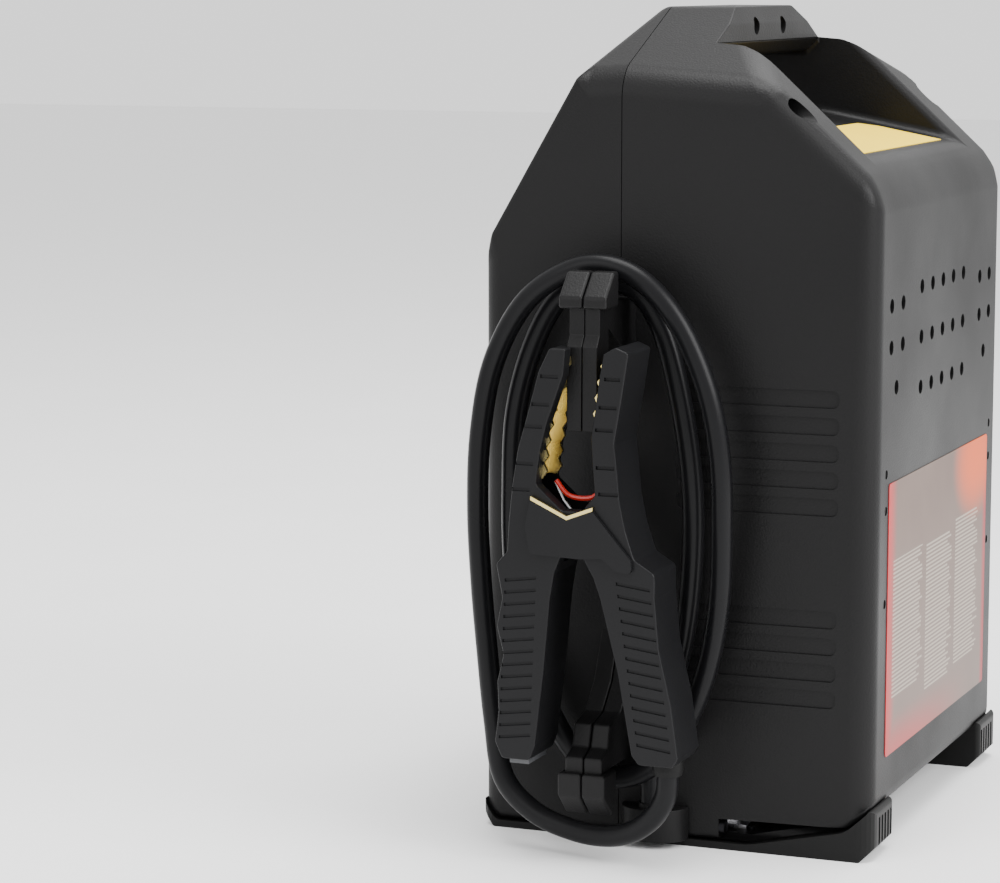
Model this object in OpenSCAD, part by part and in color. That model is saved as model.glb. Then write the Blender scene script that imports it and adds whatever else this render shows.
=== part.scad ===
// Jump starter pack: two moulded half shells on two feet, a carry handle, a control panel,
// a sealed battery inside, and one booster cable wound on the cleats with its clamp parked.
// Origin at the middle of the footprint on the floor. +Z up, +Y towards the vented rear face,
// +X towards the end that carries the black clamp.

/* [Case] */
// Width of the case over its two end walls
body_w = 280; // [250:1:330]
// Depth of the case from the panel face to the vented face
body_t = 226; // [210:1:270]
// Height of the grip's top above the floor
body_h = 458; // [440:1:520]
// Thickness of the moulded walls
wall = 3.5; // [2.5:0.1:5]
// Distance of the seam in front of the middle of the case
seam_set = 30; // [20:1:40]
// Height where the panel face turns into the front slope
front_shoulder = 325; // [310:1:340]
// Height where the vented face would meet the rear slope
rear_shoulder = 363; // [350:1:375]
// Height where an end wall turns into the end slope
hip_z = 423; // [410:1:430]
// Length of the level top of the grip
top_w = 118; // [90:1:150]
// Rounding of the upright corners
corner_r = 12; // [6:1:16]

/* [Handle] */
// Width of each arm of the handle, measured from the end wall
arm_w = 44; // [36:1:52]
// Height of the grip bar
grip_h = 28; // [22:1:34]
// Height of the shelf under the grip
shelf_z = 394; // [388:1:400]

/* [Vents and label] */
// Diameter of a vent hole
vent_d = 8; // [5:0.5:10]
// Spacing of the vent columns
vent_pitch = 23; // [18:0.5:26]
// Spacing of the middle vent rows
vent_row = 28; // [20:0.5:32]
// Height of the middle vent row
vent_z = 277; // [265:1:290]
// Width of the instruction label
label_w = 218; // [180:1:224]
// Height of the instruction label
label_h = 151; // [120:1:160]

/* [Feet] */
// Width of a foot along the case
foot_w = 42; // [34:1:50]
// How far a foot's ribbed nose stands out from the vented face
nose_out = 2.5; // [1:0.5:4]
// Height of the case's bottom above the floor
foot_h = 4; // [3:0.5:8]

/* [Cleats and cable] */
// How far the cleats stand out from an end wall
cleat_out = 60; // [54:1:70]
// Width of a cleat's head
head_w = 27; // [24:1:34]
// Width of the tongue that the clamp is parked on
tongue_w = 17; // [14:0.5:20]
// Outer diameter of the booster cable
cable_d = 12; // [9:0.5:13]

/* [Clamp] */
// Thickness of the clamp along its pivot pin
clamp_t = 36; // [34:1:40]
// Diameter of the clamp's pivot pin
pivot_d = 8; // [6:0.5:10]

/* [Panel] */
// Width of the control panel
panel_w = 172; // [160:1:190]
// Height of the control panel
panel_h = 142; // [130:1:150]
// Bore of a 12 V socket
socket_d = 21; // [20.5:0.1:22]
// Diameter of the main switch's knob
knob_d = 42; // [34:1:48]
// Diameter of the battery test button
test_d = 14; // [10:0.5:18]
// Travel of a push button
press = 2.5; // [1:0.5:3]

/* [Battery] */
// Length of the battery
battery_l = 196; // [150:1:200]
// Depth of the battery
battery_d = 130; // [110:1:132]
// Height of the battery
battery_h = 168; // [140:1:170]

/* [Fits] */
// Radial clearance of a running fit
run_gap = 0.05; // [0.02:0.01:0.09]
// Gap between faces that pass each other
pass_gap = 0.4; // [0.3:0.1:0.8]
// Radius of a shell screw's shank
screw_r = 2; // [1.5:0.1:2.5]

/* [Hidden] */
$fn = 48;

end_x = body_w / 2;
face_y = body_t / 2;
seam_y = -seam_set;
grip_x = end_x - arm_w;
arc_steps = 5;
far_cut = 400;

// ---- plane geometry helpers ----
function unit(v) = v / norm(v);
function turn(a) = a > 180 ? a - 360 : a < -180 ? a + 360 : a;
// The outline p with corner i rounded to radius r[i]
function soft(p, r) = [for (i = [0:len(p) - 1])
    let (n = len(p), b = p[i], u = unit(p[(i + n - 1) % n] - b), v = unit(p[(i + 1) % n] - b),
        half = acos(u * v) / 2, c = b + unit(u + v) * r[i] / sin(half),
        s = b + u * r[i] / tan(half) - c, f = b + v * r[i] / tan(half) - c,
        a0 = atan2(s[1], s[0]), sweep = turn(atan2(f[1], f[0]) - a0))
    each (r[i] <= 0 ? [b] : [for (k = [0:arc_steps])
        c + r[i] * [cos(a0 + sweep * k / arc_steps), sin(a0 + sweep * k / arc_steps)]])];
function left_of(v) = [-v[1], v[0]];
function cross2(a, b) = a[0] * b[1] - a[1] * b[0];
// The convex anticlockwise outline p with every side moved in by d
function inset(p, d) = [for (i = [0:len(p) - 1])
    let (n = len(p), u = unit(p[i] - p[(i + n - 1) % n]), v = unit(p[(i + 1) % n] - p[i]),
        a = p[i] + left_of(u) * d, b = p[i] + left_of(v) * d)
    a + u * cross2(b - a, v) / cross2(u, v)];
function limited(r, d) = [for (v = r) max(v - d, 0.6)];

module along_x(x, length) {
    translate([x, 0, 0]) rotate([90, 0, 90]) linear_extrude(length) children();
}
module along_y(y, length) {
    translate([0, y + length, 0]) rotate([90, 0, 0]) linear_extrude(length) children();
}
module rod_y(y, length, r) {
    translate([0, y, 0]) rotate([-90, 0, 0]) cylinder(length, r, r);
}
module both_ends() {
    children();
    mirror([1, 0, 0]) children();
}

// ---- case outlines ----
base_chamfer = 10;
rear_lift = 24;
slope_top_rear = 10;
slope_top_front = -35;
side_outline = [[-face_y + base_chamfer, foot_h], [face_y - 68, foot_h],
    [face_y - 13, foot_h + rear_lift / 2], [face_y, foot_h + rear_lift], [face_y, rear_shoulder],
    [slope_top_rear, body_h], [slope_top_front, body_h], [-face_y, front_shoulder],
    [-face_y, foot_h + base_chamfer]];
side_radii = [6, 40, 16, 6, 32, 25, 8, 40, 6];
end_outline = [[-end_x, -1], [end_x, -1], [end_x, hip_z], [top_w / 2, body_h],
    [-top_w / 2, body_h], [-end_x, hip_z]];
end_radii = [0, 0, 14, 20, 20, 14];

module case_block(d) {
    intersection() {
        along_x(-end_x, body_w) polygon(soft(inset(side_outline, d), limited(side_radii, d)));
        along_y(-face_y, body_t) polygon(soft(inset(end_outline, d),
            [for (v = end_radii) v > 0 ? v - d : 0]));
        translate([0, 0, -1]) linear_extrude(body_h + 2) polygon(soft(
            inset([[-end_x, -face_y], [end_x, -face_y], [end_x, face_y], [-end_x, face_y]], d),
            limited([corner_r, corner_r, corner_r, corner_r], d)));
    }
}

// The hand opening between the arms, grown by d, without the grip bar shrunk by d
shelf_fall = 0.19;
grip_rear = 9;
grip_low = body_h - grip_h;
opening_outline = [[-face_y - 30, shelf_z - 2], [slope_top_rear, shelf_z],
    [face_y + 40, shelf_z - (face_y + 40 - slope_top_rear) * shelf_fall],
    [face_y + 40, body_h + 20], [-face_y - 30, body_h + 20]];
grip_outline = [[-70, grip_low], [grip_rear - 6, grip_low], [grip_rear, grip_low + 8],
    [grip_rear, body_h - 11], [grip_rear - 9, body_h + 1], [-70, body_h + 1]];
grip_radii = [0, 8, 8, 8, 8, 0];
module hand_opening(d) {
    difference() {
        along_x(-grip_x - d, 2 * (grip_x + d)) polygon(inset(opening_outline, -d));
        along_x(-grip_x - d - 1, 2 * (grip_x + d + 1))
            polygon(soft(inset(grip_outline, d), limited(grip_radii, d)));
    }
}

// ---- screws of the case ----
grip_screw_x = 25;
grip_screw_z = body_h - 11;
arm_screw_x = end_x - 13;
arm_screw_z = hip_z - 19;
low_screw_x = end_x - 5;
low_screw_z = foot_h + 7.5;
// Each entry: place across, height, radius of the recess, depth of the head's seat
screw_sites = [[grip_screw_x, grip_screw_z, 5, -10], [arm_screw_x, arm_screw_z, 6.5, 10],
    [low_screw_x, low_screw_z, 6.5, 28]];
screw_reach = 14;
module at_screws() {
    for (s = screw_sites, side = [-1, 1]) translate([side * s[0], 0, s[1]]) {
        $recess_r = s[2];
        $seat_y = s[3];
        children();
    }
}

// ---- cleats ----
head_back = 20;
head_rake = 13;
tongue_deep = 18;
neck_z = 303;
head_low_z = 301;
head_top_z = 320;
tongue_low_z = 236;
lower_head_z = 25;
lower_neck_z = 50;
lower_top_z = 92;
module head_solid(low, high, flip) {
    x1 = end_x + cleat_out;
    flat = high - low - head_rake;
    // a raked nose that keeps the cable from slipping off
    rake = flip ? [[x1 - head_back, low], [x1 - head_rake, low], [x1, low + head_rake],
            [x1, high], [x1 - head_back, high]]
        : [[x1 - head_back, low], [x1, low], [x1, low + flat], [x1 - head_rake, high],
            [x1 - head_back, high]];
    along_y(seam_y - head_w / 2, head_w) polygon(soft(rake, [0.5, 2, 3, 3, 0.5]));
}
module cleats() {
    x1 = end_x + cleat_out;
    // upper: saddle under the cable, hooked head, tongue for the clamp
    along_y(seam_y - tongue_w / 2, tongue_w) polygon([[end_x - 2, neck_z - 40],
        [end_x - 2, neck_z], [x1 - tongue_deep, neck_z], [x1 - tongue_deep, head_low_z + 3],
        [x1 - 4, head_low_z + 3], [x1 - 4, head_low_z - 14], [x1, head_low_z - 20],
        [x1, tongue_low_z], [x1 - tongue_deep, tongue_low_z], [x1 - tongue_deep, neck_z - 14]]);
    head_solid(head_low_z, head_top_z, false);
    // lower: the same head upside down under a stepped stem
    along_y(seam_y - tongue_w / 2 - 2, tongue_w + 4) polygon([[end_x - 2, lower_neck_z],
        [x1 - head_back + 2, lower_neck_z], [x1 - head_back + 2, lower_neck_z - 4],
        [x1 - 4, lower_neck_z - 4], [x1 - 4, lower_neck_z + 8],
        [x1 - 14, lower_neck_z + 12], [x1 - 18, lower_neck_z + 24],
        [x1 - 34, lower_neck_z + 28], [end_x + 12, lower_top_z], [end_x - 2, lower_top_z + 30]]);
    head_solid(lower_head_z, lower_neck_z, true);
}

// ---- end wall details ----
rib_gap = 9.5;
rib_pitch = 14.6;
rib_sink = 1.2;
rib_end_y = face_y - 20;
rib_start_y = 2;
upper_ribs = [for (i = [0:4]) 188 + i * rib_pitch];
lower_ribs = [for (i = [0:3]) 83 + i * rib_pitch];
module wall_channels() {
    for (z = concat(upper_ribs, lower_ribs))
        translate([end_x - rib_sink, rib_start_y, z])
            cube([rib_sink + 1, rib_end_y - rib_start_y, rib_gap]);
}
gland_y = -8;
gland_r = 7;
gland_x = end_x + gland_r + 0.2;
gland_low = foot_h + 3;
gland_high = foot_h + 21;
boss_h = 18;
boss_r = 19;
boss_out = 16;
lead_exit_z = foot_h + 14;
lead_r = 3.4;
module gland_boss() {
    // moulded hood over the place where the cable leaves the case
    translate([0, 0, foot_h]) linear_extrude(boss_h) polygon(soft([[end_x - 3, gland_y - boss_r],
        [end_x + boss_out, gland_y - boss_r], [end_x + boss_out, gland_y + boss_r],
        [end_x - 3, gland_y + boss_r]], [0, boss_out - 2, boss_out - 2, 0]));
}
module gland_passage() {
    translate([gland_x, gland_y, gland_low]) cylinder(boss_h, gland_r, gland_r);
    translate([end_x - 16, gland_y, lead_exit_z]) rotate([0, 90, 0])
        cylinder(17, lead_r + 0.6, lead_r + 0.6);
}

// ---- case shells ----
function vent_places() = concat(
    [for (c = [-2:2], r = [-1:1]) [c * vent_pitch, vent_z + r * vent_row]],
    [for (s = [-1, 1], c = [85, 108], r = [0, 1]) [s * c, vent_z + r * 22.5]],
    [for (s = [-1, 1]) [s * 96.5, vent_z - 22.5]]);
trim_x = label_w / 2 + 5;
label_z = 52;
trim_places = [for (s = [-1, 1], z = [138, 189, 209]) [s * trim_x, z]];
trim_r = 2.3;
panel_z = 233;

module shell_stock() {
    difference() {
        case_block(0);
        difference() {
            case_block(wall);
            hand_opening(wall);
            for (s = screw_sites, side = [-1, 1]) translate([side * s[0], 0, s[1]])
                rod_y(-face_y, body_t, s[2] + 3.4);
        }
        hand_opening(0);
        both_ends() wall_channels();
    }
}
module shell_cuts() {
    both_ends() gland_passage();
    both_ends() for (y = foot_screw_y) translate([end_x - foot_w / 2, y, 0])
        cylinder(30, screw_r + run_gap, screw_r + run_gap);
    both_ends() translate([strap_bolt_x, strap_y + strap_w / 2, 0]) cylinder(30, 3.05, 3.05);
    at_screws() {
        rod_y($seat_y, far_cut, $recess_r);
        rod_y(seam_y - screw_reach, far_cut, screw_r + run_gap);
    }
}
module front_shell() color("#1c1c1e") difference() {
    union() {
        intersection() {
            shell_stock();
            translate([-far_cut, seam_y - far_cut, 0])
                cube([2 * far_cut, far_cut, 2 * far_cut]);
        }
        // raised rim and sunk pocket round the control panel
        panel_area(-face_y - nose_out, nose_out + 1, rim_w);
        panel_area(-face_y, panel_sink + panel_t + 3, wall);
    }
    shell_cuts();
    panel_area(-face_y - nose_out - 1, nose_out + 1 + panel_sink + panel_t, 0);
    panel_area(panel_y, 20, -ledge);
    for (p = panel_corners()) translate([p[0], 0, p[1]]) rod_y(panel_y, 20, 1.5);
}
module rear_shell() color("#1c1c1e") difference() {
    intersection() {
        shell_stock();
        translate([-far_cut, seam_y, 0]) cube([2 * far_cut, far_cut, 2 * far_cut]);
    }
    shell_cuts();
    for (p = vent_places()) translate([p[0], 0, p[1]])
        rod_y(face_y - wall - 1, wall + 2, vent_d / 2);
    for (p = trim_places) translate([p[0], 0, p[1]])
        rod_y(face_y - wall - 1, wall + 2, trim_r + run_gap);
}
// Each cleat is moulded in two halves, one with each shell
module cleat_half(low_y) difference() {
    intersection() {
        both_ends() cleats();
        translate([-far_cut, low_y, 0]) cube([2 * far_cut, far_cut, 2 * far_cut]);
    }
    case_block(0);
}
module front_cleats() color("#1c1c1e") cleat_half(seam_y - far_cut);
module rear_cleats() color("#1c1c1e") cleat_half(seam_y);
module gland_hoods() color("#1c1c1e") both_ends() difference() {
    gland_boss();
    case_block(0);
    gland_passage();
    // the passage is open to the end wall, so no thin skin is left between them
    translate([end_x - 3, gland_y - 4, gland_low]) cube([gland_r, 8, boss_h]);
}
module shell_screws() color("#8f9296") at_screws() {
    rod_y($seat_y, 3, 3.8);
    rod_y(seam_y - screw_reach + 1, $seat_y - seam_y + screw_reach, screw_r);
}
module trim_screws() color("#2a2a2c") for (p = trim_places) translate([p[0], 0, p[1]]) {
    rod_y(face_y - wall - 2, wall + 1.4, trim_r);
    rod_y(face_y - wall - 2, 2, trim_r + 1.5);
}

// ---- feet ----
foot_screw_y = [-70, 41];
slot_n = 5;
slot_pitch = 5.8;
slot_w = 2.8;
slot_deep = 1.6;
foot_outline = [[-face_y + 8, 0], [face_y - 5, 0], [face_y + nose_out, 8],
    [face_y + nose_out, foot_h + rear_lift], [face_y - 30, foot_h + rear_lift],
    [-face_y + 12, foot_h + base_chamfer + 2], [-face_y, foot_h + base_chamfer],
    [-face_y, 9]];
module foot() {
    difference() {
        intersection() {
            along_x(end_x - foot_w, foot_w) polygon(soft(foot_outline, [2, 2, 2, 3, 0, 0, 0.4, 2]));
            linear_extrude(60) polygon(soft([[end_x - foot_w, -face_y], [end_x, -face_y],
                [end_x, face_y + nose_out], [end_x - foot_w, face_y + nose_out]], [4, 10, 9, 3]));
        }
        along_x(end_x - foot_w - 1, foot_w + 2) polygon(soft(side_outline, side_radii));
        for (i = [0:slot_n - 1])
            translate([end_x - 13 - i * slot_pitch - slot_w, face_y + nose_out - slot_deep, -1])
                cube([slot_w, 10, 24]);
        for (y = foot_screw_y) translate([end_x - foot_w / 2, y, -1]) {
            cylinder(foot_h + 2, screw_r + run_gap, screw_r + run_gap);
            cylinder(3, 4.2, 4.2);
        }
    }
}
module foot_near() color("#161617") foot();
module foot_far() color("#161617") mirror([1, 0, 0]) foot();
module foot_screws() color("#8f9296") both_ends() for (y = foot_screw_y)
    translate([end_x - foot_w / 2, y, 0.6]) {
        cylinder(1.4, 3.6, 3.6);
        cylinder(foot_h + wall + 1, screw_r, screw_r);
    }

// ---- labels ----
label_t = 0.5;
module instruction_label() color("#8d8a88")
    translate([-label_w / 2, face_y, label_z]) cube([label_w, label_t, label_h]);
recess_label_w = 170;
recess_label_near = 40;
recess_label_far = 90;
function shelf_at(y) = shelf_z - (y - slope_top_rear) * shelf_fall;
module recess_label() color("#e8c81e") along_x(-recess_label_w / 2, recess_label_w) polygon([
    [recess_label_near, shelf_at(recess_label_near)], [recess_label_far, shelf_at(recess_label_far)],
    [recess_label_far, shelf_at(recess_label_far) + label_t],
    [recess_label_near, shelf_at(recess_label_near) + label_t]]);

// ---- cable glands ----
gland_floor = gland_low + 4;
module gland_body() {
    translate([gland_x, gland_y, 0]) difference() {
        translate([0, 0, gland_low]) cylinder(gland_high - gland_low, gland_r, gland_r);
        translate([0, 0, gland_floor]) cylinder(20, cable_d / 2, cable_d / 2);
    }
}
module cable_gland() color("#232324") gland_body();
module spare_gland() color("#232324") mirror([1, 0, 0]) gland_body();
// ---- cable ----
collar_x = 194;
collar_y = 17.5;
// Middle line of the booster cable, from its gland round the cleats twice to the clamp's collar
cable_points = [[gland_x, -8, gland_floor], [gland_x, -8, 32], [gland_x, -8, 48],
    [148, 1, 82], [149, 11, 121], [151, 16, 163], [153, 16, 205], [154, 10, 247], [155, 0, 285],
    [156, -14, 306.6], [156, -36, 313.2], [156, -59, 302.8], [156, -75, 275], [156, -85, 238],
    [156, -87, 196], [156, -86, 154], [156, -79, 112], [156, -65, 74], [156, -47, 48],
    [156, -26, 39], [156, -4, 48], [157, 14, 72], [159, 27, 103], [163, 35, 140], [165, 37, 180],
    [166, 36, 219], [167, 29, 256], [168, 14, 290], [169, -6, 313], [169, -29, 322],
    [169, -52, 317], [168, -76, 299], [167, -94, 266], [166, -102, 227], [165, -104, 186],
    [165, -102, 145], [166, -98, 106], [168, -93, 68], [171, -86, 37], [175, -66, 20],
    [180, -41, 13.5], [185, -21, 13.5], [189.5, -4, 18.5], [192.8, 9, 28.5],
    [collar_x, collar_y - 1.1, 41], [collar_x, collar_y, 52.85]];
function along(p, i, t) = let (a = p[max(i - 1, 0)], b = p[i], c = p[min(i + 1, len(p) - 1)],
    d = p[min(i + 2, len(p) - 1)])
    0.5 * ((2 * b) + (c - a) * t + (2 * a - 5 * b + 4 * c - d) * t * t
        + (3 * b - a - 3 * c + d) * t * t * t);
function smooth_line(p, n) = concat([for (i = [0:len(p) - 2], k = [0:n - 1]) along(p, i, k / n)],
    [p[len(p) - 1]]);
function heading(q, i) = unit(q[min(i + 1, len(q) - 1)] - q[max(i - 1, 0)]);
// The side direction is carried along the line so that the rings don't twist
function side_dirs(q, i, s) = i >= len(q) ? []
    : let (h = heading(q, i), n = unit(s - h * (s * h))) concat([n], side_dirs(q, i + 1, n));
module tube(q, r, sides, first_side) {
    dirs = side_dirs(q, 0, first_side);
    rings = [for (i = [0:len(q) - 1]) let (u = dirs[i], v = cross(heading(q, i), u))
        each [for (k = [0:sides - 1]) q[i]
            + r * (u * cos(360 * k / sides) + v * sin(360 * k / sides))]];
    last = (len(q) - 1) * sides;
    polyhedron(rings, concat([[for (k = [0:sides - 1]) k]],
        [[for (k = [sides - 1:-1:0]) last + k]],
        [for (i = [0:len(q) - 2], k = [0:sides - 1]) let (a = i * sides, b = (k + 1) % sides)
            [a + k, a + sides + k, a + sides + b, a + b]]));
}
module black_cable() color("#0f0f10")
    tube(smooth_line(cable_points, 2), cable_d / 2 - 0.02, 10, [1, 0, 0]);

// ---- booster clamp, drawn in the plane of its arms: across from the seam, and height ----
clamp_x1 = end_x + cleat_out + 12;
clamp_x0 = clamp_x1 - clamp_t;
slot_x0 = end_x + cleat_out - tongue_deep - 3;
slot_x1 = end_x + cleat_out + 3;
jaw_plate = 2.4;
pivot_z = 184;
lug_r = 11;
web = 5;
fixed_outline = [[16.4, 279], [14, 266], [11.7, 248], [9.6, 235], [10.6, 219], [11.9, 204],
    [6, 197], [4, 172], [11, 160], [15, 149], [25, 110], [33, 66], [37, 61], [56, 61], [59, 66],
    [55, 94], [48, 124], [45.5, 151], [45.5, 164], [34, 171], [29, 186], [25.7, 201], [23.9, 220],
    [22.5, 232], [26.6, 256], [30.3, 280], [23, 283]];
fixed_radii = [1, 10, 10, 8, 8, 3, 3, 3, 5, 20, 60, 3, 3, 2, 2, 10, 20, 6, 4, 6, 20, 20, 20, 12,
    20, 2, 3];
moving_outline = [[-5, 281], [-6.2, 267], [-15.4, 241], [-19.2, 226], [-21.6, 208], [-7, 195],
    [lug_r, pivot_z + lug_r], [lug_r, pivot_z - lug_r], [-6, 173], [-11, 161], [-13.4, 147],
    [-17, 107], [-22, 66], [-25, 58], [-41, 58], [-45, 67],
    [-42.9, 84], [-43.6, 100], [-40.1, 115], [-43.9, 130], [-40.8, 146], [-44.3, 164],
    [-38, 171], [-37, 188], [-35, 207], [-32, 226], [-26, 247], [-20, 269], [-14, 281]];
moving_radii = [1, 8, 12, 20, 3, 3, 10, 10, 3, 5, 8, 60, 3, 3, 3, 5, 8, 8, 8, 8, 8, 3, 4, 14, 30, 30, 20,
    20, 0.4];
module flat_arm(o, r) {
    polygon(soft(o, r));
}
// An arm is a channel over the jaw and a full grip below: side says which way its back faces
module arm_stock(o, r, side, x0, x1, bore_r) {
    translate([0, seam_y, 0]) difference() {
        along_x(x0, x1 - x0) flat_arm(o, r);
        intersection() {
            along_x(slot_x0, slot_x1 - slot_x0) translate([-side * web, 0]) flat_arm(o, r);
            translate([0, -60, 166]) cube([far_cut, 120, 200]);
        }
        rod_at(x0 - 1, clamp_t + 2, bore_r);
        for (i = [0:grip_ribs - 1]) let (z = 72 + i * rib_step)
            translate([clamp_x1 - groove_deep - (x1 < clamp_x1 ? 0.4 : 0),
                side * (grip_mid - (z - 72) * grip_lean) - 7, z]) cube([3, 14, 1.5]);
    }
}
module rod_at(x, length, r) {
    translate([x, 0, pivot_z]) rotate([0, 90, 0]) cylinder(length, r, r);
}
grip_ribs = 12;
rib_step = 6.8;
grip_mid = 40;
grip_lean = 0.12;
groove_deep = 0.8;
module clamp_fixed_arm() color("#141415") {
    difference() {
        arm_stock(fixed_outline, fixed_radii, 1, clamp_x0, clamp_x1, pivot_d / 2);
        translate([0, seam_y, 0]) {
            rod_at(clamp_x0 - 1, slot_x0 - clamp_x0 + 1, lug_r + 1);
            rod_at(slot_x1, clamp_t, lug_r + 1);
        }
        translate([collar_x, collar_y, 50]) cylinder(26, 7, 7);
    }
    // middle lug of the hinge
    translate([0, seam_y, 0]) difference() {
        along_x(slot_x0 + pass_gap, 8) polygon(soft([[-9.5, pivot_z - 9.5],
            [29, pivot_z - 9.5], [25, pivot_z + 9.5], [-9.5, pivot_z + 9.5]], [9, 0, 0, 9]));
        rod_at(slot_x0 - 1, 12, pivot_d / 2);
    }
}
module clamp_moving_arm() color("#141415")
    arm_stock(moving_outline, moving_radii, -1, clamp_x0 + pass_gap, clamp_x1 - pass_gap,
        pivot_d / 2 + run_gap);

// Sheet metal jaws: a toothed plate against each cheek and a bridge along the arm's back
tooth_n = 8;
module jaw_profile(line, side) {
    // line runs down the biting edge; teeth point at the other jaw
    teeth = [for (i = [0:len(line) - 2]) let (a = line[i], b = line[i + 1])
        each [a, (a + b) / 2 - [side * 2.2, 0]]];
    polygon(concat(teeth, [line[len(line) - 1]], [for (i = [len(line) - 1:-1:0])
        line[i] + [side * 7, 0]]));
}
function bite_line(top, low, n, bow) = [for (i = [0:n]) let (t = i / n)
    top * (1 - t) + low * t + [bow * 4 * t * (1 - t), 0]];
module jaw(line, side, back) {
    translate([0, seam_y, 0]) {
        for (x = [slot_x0, slot_x1 - jaw_plate]) along_x(x, jaw_plate) jaw_profile(line, side);
        along_x(slot_x0, slot_x1 - slot_x0) polygon(back);
    }
}
module clamp_fixed_jaw() color("#b08d3e") intersection() {
    jaw(bite_line([15, 276], [12, 208], tooth_n, -4), 1,
        [[19, 256], [21, 256], [18, 234], [18.6, 219], [20, 208], [17.5, 208], [16, 234]]);
    translate([0, seam_y, 0]) along_x(0, far_cut) translate([-web, 0])
        flat_arm(concat([[-10, 279], [-10, 204]], [for (i = [5:26]) fixed_outline[i]]),
            concat([0, 0], [for (i = [5:26]) fixed_radii[i]]));
}
module clamp_moving_jaw() color("#b08d3e") intersection() {
    jaw(bite_line([-6, 276], [-21, 210], tooth_n, -3), -1,
        [[-17, 256], [-19, 256], [-27, 226], [-29, 210], [-26.5, 210], [-24.5, 226]]);
    translate([0, seam_y, 0]) along_x(0, far_cut) translate([web, 0])
        flat_arm(concat([for (i = [8:28]) moving_outline[i]], [[20, 281], [20, 197]]),
            concat([0], [for (i = [9:28]) moving_radii[i]], [0, 0]));
}
module clamp_pivot_pin() color("#9fa2a6") translate([0, seam_y, 0]) {
    rod_at(clamp_x0 - 1.5, clamp_t + 1.2, pivot_d / 2);
    rod_at(clamp_x0 - 3, 2.6, lug_r - 4);
}
spring_r = 6.6;
spring_wire = 1.1;
spring_x = slot_x0 + 10.4;
module clamp_spring() color("#c3c7cb") translate([0, seam_y, 0]) {
    turns = 4;
    coil = [for (i = [0:turns * 12 + 2]) let (a = 150 - i * 30)
        [spring_x + i / 12 * 2.35, spring_r * cos(a), pivot_z + spring_r * sin(a)]];
    first = coil[0];
    last = coil[len(coil) - 1];
    tube(concat([[first[0], -19, 207], [first[0], -14, 197]], coil,
        [[last[0], 12, 196], [last[0], 15, 204]]), spring_wire, 8, [1, 0, 0]);
}
cover_t = 2.5;
cover_outline = [[-23.6, 200], [-26.5, 186], [-24, 171], [4, 170], [17, 171], [24, 165],
    [34, 163], [33, 171], [20, 186], [11.5, 196], [-3.1, 190.4]];
module clamp_cover() color("#19191a") translate([0, seam_y, 0])
    along_x(clamp_x1, cover_t) flat_arm(cover_outline, [1, 2, 3, 0, 3, 3, 3, 3, 6, 1, 0]);
module clamp_bond_strip() color("#b08d3e") translate([0, seam_y, 0])
    along_x(clamp_x1 + 0.1, cover_t - 0.3) polygon([[-23.6, 200.1], [-3.1, 190.5], [11.5, 196.1],
        [11.7, 198.1], [-3.1, 192.5], [-23.4, 202.1]]);
module clamp_collar() color("#202022") translate([collar_x, collar_y, 53]) {
    cylinder(3, 7.6, 8.4);
    translate([0, 0, 3]) cylinder(5, 8.4, 8.4);
    translate([0, 0, 8]) cylinder(14.4, 7, 7);
}
module clamp_end_cap() color("#8a8c8e") translate([clamp_x0 + 5, seam_y - 38, 55])
    cube([clamp_t - 10, 11, 3]);
module clamp_bond_wire() color("#a3271f") translate([0, seam_y, 0])
    tube(smooth_line([[slot_x1 - 5, 11, 206], [slot_x1 - 5, 6, 201], [slot_x1 - 5, -2, 200],
        [slot_x1 - 5, -9, 202], [slot_x1 - 5, -15, 209]], 4), 1.4, 8, [1, 0, 0]);

// ---- control panel, let into the panel face ----
panel_sink = 13;
panel_t = 3;
panel_y = -face_y + panel_sink;
ledge = 7;
rim_w = 8;
function panel_corners() = [for (x = [-1, 1], z = [-1, 1])
    [x * (panel_w / 2 - ledge / 2), panel_z + z * (panel_h / 2 - ledge / 2)]];
function grown_box(w, h, d) = [[-w / 2 - d, -h / 2 - d], [w / 2 + d, -h / 2 - d],
    [w / 2 + d, h / 2 + d], [-w / 2 - d, h / 2 + d]];
module panel_area(y, length, d) {
    translate([0, 0, panel_z]) along_y(y, length) polygon(grown_box(panel_w, panel_h, d));
}
socket_x = 48;
socket_z = panel_z - 36;
test_z = panel_z - 2;
switch_x = -48;
switch_z = panel_z + 26;
meter_w = 60;
meter_h = 26;
meter_x = 34;
meter_z = panel_z + 44;
lamp_x = 34;
lamp_z = panel_z + 19;
reset_x = 0;
inlet_x = 48;
inlet_z = test_z;
button_x = 12;
module panel_plate() color("#3a3b3d") difference() {
    panel_area(panel_y, panel_t, -0.3);
    for (p = panel_corners()) translate([p[0], 0, p[1]]) rod_y(panel_y - 1, panel_t + 2, 1.6);
    for (s = [-1, 1]) translate([s * socket_x, 0, socket_z])
        rod_y(panel_y - 1, panel_t + 2, socket_d / 2 + 2);
    translate([switch_x, 0, switch_z]) rod_y(panel_y - 1, panel_t + 2, 9);
    translate([button_x, 0, test_z]) rod_y(panel_y - 1, panel_t + 2, test_d / 2 + 1.5);
    translate([reset_x, 0, socket_z]) rod_y(panel_y - 1, panel_t + 2, 6.5);
    translate([inlet_x, 0, inlet_z]) rod_y(panel_y - 1, panel_t + 2, 7);
    translate([meter_x - meter_w / 2 + 3, panel_y - 1, meter_z - meter_h / 2 + 3])
        cube([meter_w - 6, panel_t + 2, meter_h - 6]);
    for (i = [-2:2]) translate([lamp_x + i * 11, 0, lamp_z])
        rod_y(panel_y - 1, panel_t + 2, 2.55);
}
module panel_screws() color("#8f9296") for (p = panel_corners()) translate([p[0], 0, p[1]]) {
    rod_y(panel_y - 1.6, 1.6, 3);
    rod_y(panel_y - 0.5, panel_t + 4, 1.5);
}
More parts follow.
